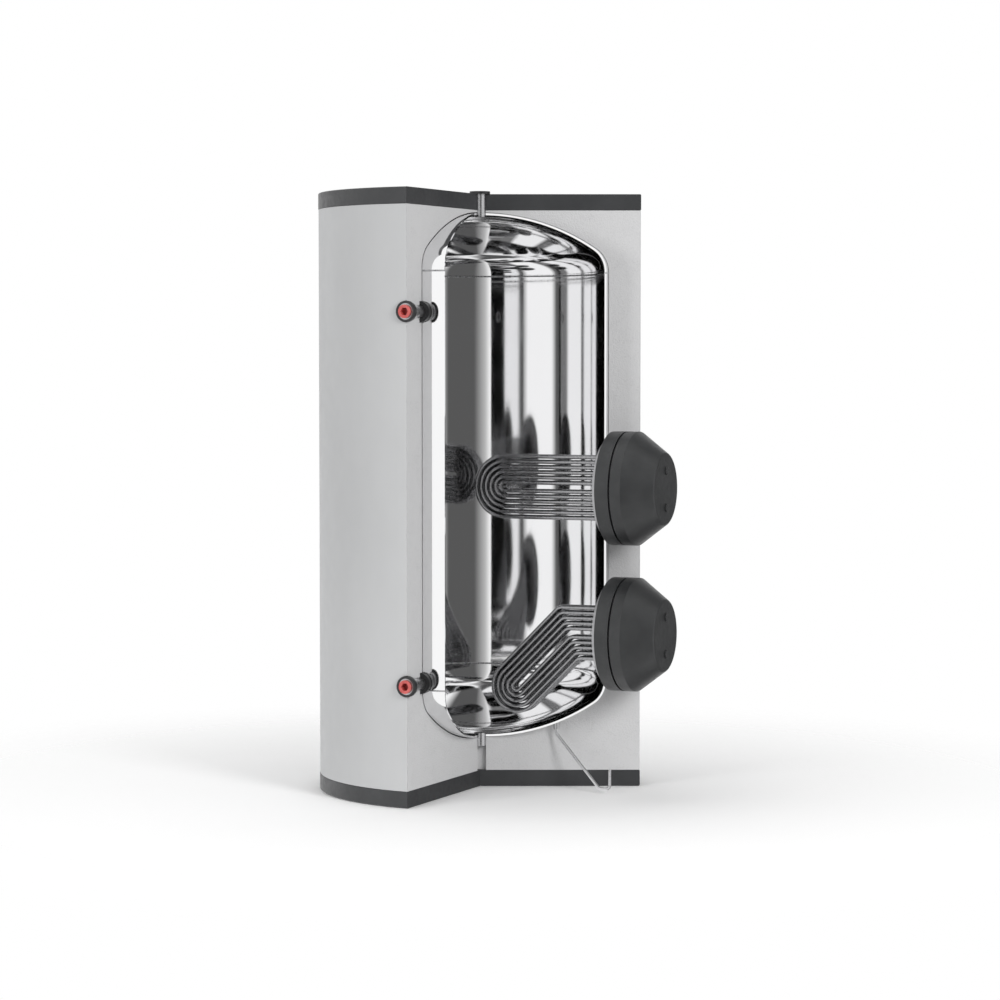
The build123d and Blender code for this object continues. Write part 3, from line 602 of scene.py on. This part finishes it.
def folded(before, corner, after, radius, steps=8):
    """Points of the arc that takes the place of a corner."""
    into = (Vector(corner) - Vector(before)).normalized()
    away = (Vector(after) - Vector(corner)).normalized()
    turn_angle = into.angle(away)
    back_off = radius * math.tan(turn_angle / 2)
    first = Vector(corner) - into * back_off
    side = away - into * away.dot(into)
    side.normalize()
    points = []
    for i in range(steps + 1):
        a = turn_angle * i / steps
        points.append(first + into * radius * math.sin(a) + side * radius * (1 - math.cos(a)))
    return points


def u_tube(reach, height, centre, tilt):
    """Centre line of one tube in its row's plane, as (outwards, up) points."""
    rise = Vector((-math.sin(tilt), math.cos(tilt))) * reach
    middle = Vector(centre)
    mitre = math.tan(tilt / 2) * reach
    top_start, top_end = Vector((plate_distance, height + reach)), middle + rise
    low_start, low_end = Vector((plate_distance, height - reach)), middle - rise
    points = [top_start]
    if tilt > 0:
        points += folded(top_start, (fold_distance - mitre, height + reach), top_end, fold_radius)
    for i in range(bend_steps + 1):
        a = math.pi / 2 + tilt + math.pi * i / bend_steps
        points.append(middle + Vector((math.cos(a), math.sin(a))) * reach)
    if tilt > 0:
        points += folded(low_end, (fold_distance + mitre, height - reach), low_start, fold_radius)
    points.append(low_start)
    return points


def in_the_flange_plane(point, sideways):
    """A row's (outwards, up) point in the frame of the whole object."""
    return (point.x * math.cos(flange_turn) - sideways * math.sin(flange_turn),
            point.x * math.sin(flange_turn) + sideways * math.cos(flange_turn), point.y)


for side, tilt, turns in (("upper", 0.0, upper_turns), ("lower", fold_angle, lower_turns)):
    plate_low, plate_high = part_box(side + "_tube_plate")
    height = (plate_low.z + plate_high.z) / 2
    outer_reach = inner_bend + tube_pitch * (turns - 1)
    if tilt == 0:
        centre = (upper_tip_distance + outer_reach + tube_radius, height)
    else:
        centre = (fold_distance - slant_length * math.cos(tilt),
                  height - slant_length * math.sin(tilt))
    for row in (1, 2, 3):
        sideways = row_pitch * (row - middle_row)
        tubes = []
        for turn in range(turns):
            line = u_tube(inner_bend + tube_pitch * turn, height, centre, tilt)
            tubes.append([in_the_flange_plane(point, sideways) for point in line])
        coil = wire(f"{side}_finned_row_{row}", tubes)
        coil = grown(coil, fin_tree, {
            "Core radius": tube_core, "Fin radius": fin_radius, "Fin pitch": fin_pitch,
            "Fin thickness": fin_thickness, "Sides": fin_sides, "Finish": fin_steel})
        body = "upper_exchanger" if side == "upper" else "tank_and_jacket"
        place_piece(coil, fin_steel, body, f"{side}_coil_row_{row}")

# ------------------------------------------------------------------ flange covers
# Two moulded covers in dark grey plastic with a fine matt grain.  Each has a ring that
# stays on the flange, a conical hood that pulls off it, and two caps over the unions.

cover_black, tree, shader = finish("cover_black", (0.026, 0.027, 0.028, 1), 0.40)
tint(tree, shader, grain(tree, 12.0, 4.0), (0.021, 0.022, 0.023, 1), (0.031, 0.032, 0.033, 1))
polish(tree, shader, grain(tree, 45.0, 3.0), 0.34, 0.46)
relief(tree, shader, grain(tree, 1000.0, 2.0), 0.0002, 0.5)
relief(tree, shader, grain(tree, 16.0, 2.0), 0.0008, 0.2)
for side in ("upper", "lower"):
    dress(cover_black, side + "_cover_collar", side + "_flange_cover", side + "_cover_caps")

# ------------------------------------------------------------------ drain tube
# A thin bent steel tube runs down from its boss under the tank to a hook near the floor.

drain_steel, tree, shader = finish("drain_steel", (0.66, 0.66, 0.67, 1), 0.34, 1.0)
polish(tree, shader, grain(tree, 120.0, 3.0), 0.26, 0.42)
relief(tree, shader, grain(tree, 900.0, 2.0), 0.00006, 0.5)
dress(drain_steel, "drain_tube")
